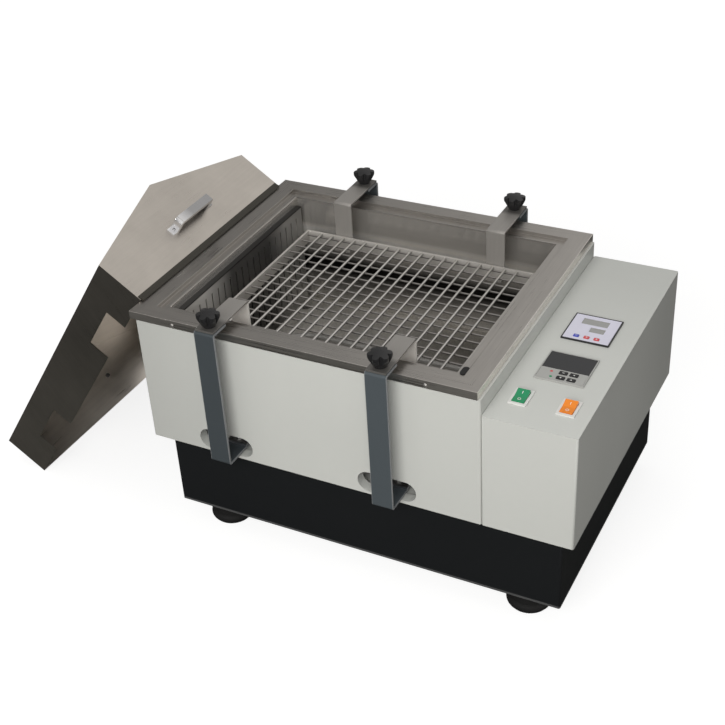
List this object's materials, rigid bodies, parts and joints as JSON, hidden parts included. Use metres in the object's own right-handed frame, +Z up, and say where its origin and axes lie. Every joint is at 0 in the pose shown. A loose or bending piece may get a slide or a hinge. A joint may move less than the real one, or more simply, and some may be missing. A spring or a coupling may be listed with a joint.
{
  "type": "shaking water bath",
  "caption": "Bench water bath with a stainless tank, a shaken wire tray hung from outside arms, a side control box and a lift-off gable lid leaning on the rim.",
  "frame": {"origin": "on the table, under the middle of the whole set with the lid leaning at the left", "axes": "+X to the right, from the lid to the control box; +Y to the back; +Z up"},
  "size_m": [1.0868, 0.531, 0.4854],
  "materials": {
    "rubber": "matt black",
    "black_paint": "satin black",
    "white_paint": "fine-textured off-white",
    "stainless": "brushed",
    "tank_steel": "bright drawn sheet",
    "bright_steel": "bright",
    "zinc_steel": "zinc plated",
    "motor_paint": "satin grey",
    "bush_plastic": "matt",
    "slate_paint": "satin slate grey",
    "black_plastic": "matt black",
    "lavender_plastic": "smooth pale film",
    "display_plastic": "unlit window",
    "grey_plastic": "pale grey film",
    "dark_window": "unlit window",
    "red_plastic": "smooth",
    "blue_plastic": "smooth",
    "white_plastic": "smooth",
    "green_plastic": "smooth",
    "orange_plastic": "smooth",
    "lid_steel": "brushed",
    "chrome": "polished"
  },
  "bodies": {
    "bath": {"rubber_feet": "rubber", "base_shell": "black_paint", "floor_plate": "black_paint", "drive_deck": "zinc_steel", "gear_motor": "motor_paint", "guide_rods": "bright_steel", "guide_blocks": "zinc_steel", "front_panel": "white_paint", "rear_panel": "white_paint", "side_panels": "white_paint", "control_box": "white_paint", "tank_tub": "tank_steel", "tank_rim": "stainless", "lip_screws": "bright_steel", "rim_plug": "rubber", "heater_tube": "bright_steel", "probe_sheath": "bright_steel", "temp_controller": "black_plastic", "temp_face": "lavender_plastic", "temp_displays": "display_plastic", "speed_controller": "grey_plastic", "speed_face": "grey_plastic", "speed_window": "dark_window", "speed_lamps": "red_plastic", "rocker_frames": "white_plastic", "cable_gland": "black_plastic", "fuse_holder": "black_plastic", "drain_spout": "bright_steel"},
    "carriage": {"slide_bushes": "bush_plastic", "carriage_frame": "zinc_steel", "arm_fasteners": "bright_steel", "front_left_arm": "slate_paint", "front_right_arm": "slate_paint", "rear_left_arm": "slate_paint", "rear_right_arm": "slate_paint", "front_left_hanger": "stainless", "front_right_hanger": "stainless", "rear_left_hanger": "stainless", "rear_right_hanger": "stainless", "tray_frame": "stainless", "grid_rods": "bright_steel", "grid_wires": "bright_steel"},
    "crank": {"crank": "zinc_steel"},
    "connecting_rod": {"connecting_rod": "zinc_steel"},
    "lid": {"lid_shell": "lid_steel", "lid_handles": "chrome", "handle_screws": "bright_steel"},
    "green_rocker": {"green_rocker": "green_plastic"},
    "orange_rocker": {"orange_rocker": "orange_plastic"},
    "front_left_knob": {"front_left_knob": "black_plastic"},
    "front_right_knob": {"front_right_knob": "black_plastic"},
    "rear_left_knob": {"rear_left_knob": "black_plastic"},
    "rear_right_knob": {"rear_right_knob": "black_plastic"},
    "temp_set_key": {"temp_set_key": "blue_plastic"},
    "temp_down_key": {"temp_down_key": "red_plastic"},
    "temp_up_key": {"temp_up_key": "red_plastic"},
    "speed_set_key": {"speed_set_key": "black_plastic"},
    "speed_shift_key": {"speed_shift_key": "black_plastic"},
    "speed_down_key": {"speed_down_key": "black_plastic"},
    "speed_up_key": {"speed_up_key": "black_plastic"}
  },
  "joints": [
    {"name": "shake_slide", "type": "slide", "parent": "bath", "child": "carriage", "axis": [1, 0, 0], "range_m": [-0.017, 0.003]},
    {"name": "crank_spin", "type": "hinge", "parent": "bath", "child": "crank", "pos_m": [0.07707, 0, 0.163], "axis": [0, 0, 1], "continuous": true},
    {"name": "rod_swing", "type": "hinge", "parent": "carriage", "child": "connecting_rod", "pos_m": [-0.00593, 0, 0.17701], "axis": [0, 0, 1], "range_deg": [-11.12, 1.64]},
    {"name": "lid_lift", "type": "slide", "parent": "bath", "child": "lid", "axis": [0, 0, 1], "range_m": [0, 0.45]},
    {"name": "front_left_knob_turn", "type": "hinge", "parent": "carriage", "child": "front_left_knob", "pos_m": [-0.00593, -0.248, 0.4214], "axis": [0, 0, 1], "continuous": true},
    {"name": "front_right_knob_turn", "type": "hinge", "parent": "carriage", "child": "front_right_knob", "pos_m": [0.26667, -0.248, 0.4214], "axis": [0, 0, 1], "continuous": true},
    {"name": "rear_left_knob_turn", "type": "hinge", "parent": "carriage", "child": "rear_left_knob", "pos_m": [-0.00593, 0.248, 0.4214], "axis": [0, 0, 1], "continuous": true},
    {"name": "rear_right_knob_turn", "type": "hinge", "parent": "carriage", "child": "rear_right_knob", "pos_m": [0.26667, 0.248, 0.4214], "axis": [0, 0, 1], "continuous": true},
    {"name": "green_rocker_tilt", "type": "hinge", "parent": "bath", "child": "green_rocker", "pos_m": [0.44137, -0.175, 0.365], "axis": [1, 0, 0], "range_deg": [-14, 0]},
    {"name": "orange_rocker_tilt", "type": "hinge", "parent": "bath", "child": "orange_rocker", "pos_m": [0.50937, -0.175, 0.365], "axis": [1, 0, 0], "range_deg": [-14, 0]},
    {"name": "temp_set_key_press", "type": "slide", "parent": "bath", "child": "temp_set_key", "axis": [0, 0, 1], "range_m": [-0.0008, 0], "stiffness_N_per_m": 400, "springref_m": 0.0006},
    {"name": "temp_down_key_press", "type": "slide", "parent": "bath", "child": "temp_down_key", "axis": [0, 0, 1], "range_m": [-0.0008, 0], "stiffness_N_per_m": 400, "springref_m": 0.0006},
    {"name": "temp_up_key_press", "type": "slide", "parent": "bath", "child": "temp_up_key", "axis": [0, 0, 1], "range_m": [-0.0008, 0], "stiffness_N_per_m": 400, "springref_m": 0.0006},
    {"name": "speed_set_key_press", "type": "slide", "parent": "bath", "child": "speed_set_key", "axis": [0, 0, 1], "range_m": [-0.0008, 0], "stiffness_N_per_m": 400, "springref_m": 0.0006},
    {"name": "speed_shift_key_press", "type": "slide", "parent": "bath", "child": "speed_shift_key", "axis": [0, 0, 1], "range_m": [-0.0008, 0], "stiffness_N_per_m": 400, "springref_m": 0.0006},
    {"name": "speed_down_key_press", "type": "slide", "parent": "bath", "child": "speed_down_key", "axis": [0, 0, 1], "range_m": [-0.0008, 0], "stiffness_N_per_m": 400, "springref_m": 0.0006},
    {"name": "speed_up_key_press", "type": "slide", "parent": "bath", "child": "speed_up_key", "axis": [0, 0, 1], "range_m": [-0.0008, 0], "stiffness_N_per_m": 400, "springref_m": 0.0006}
  ]
}
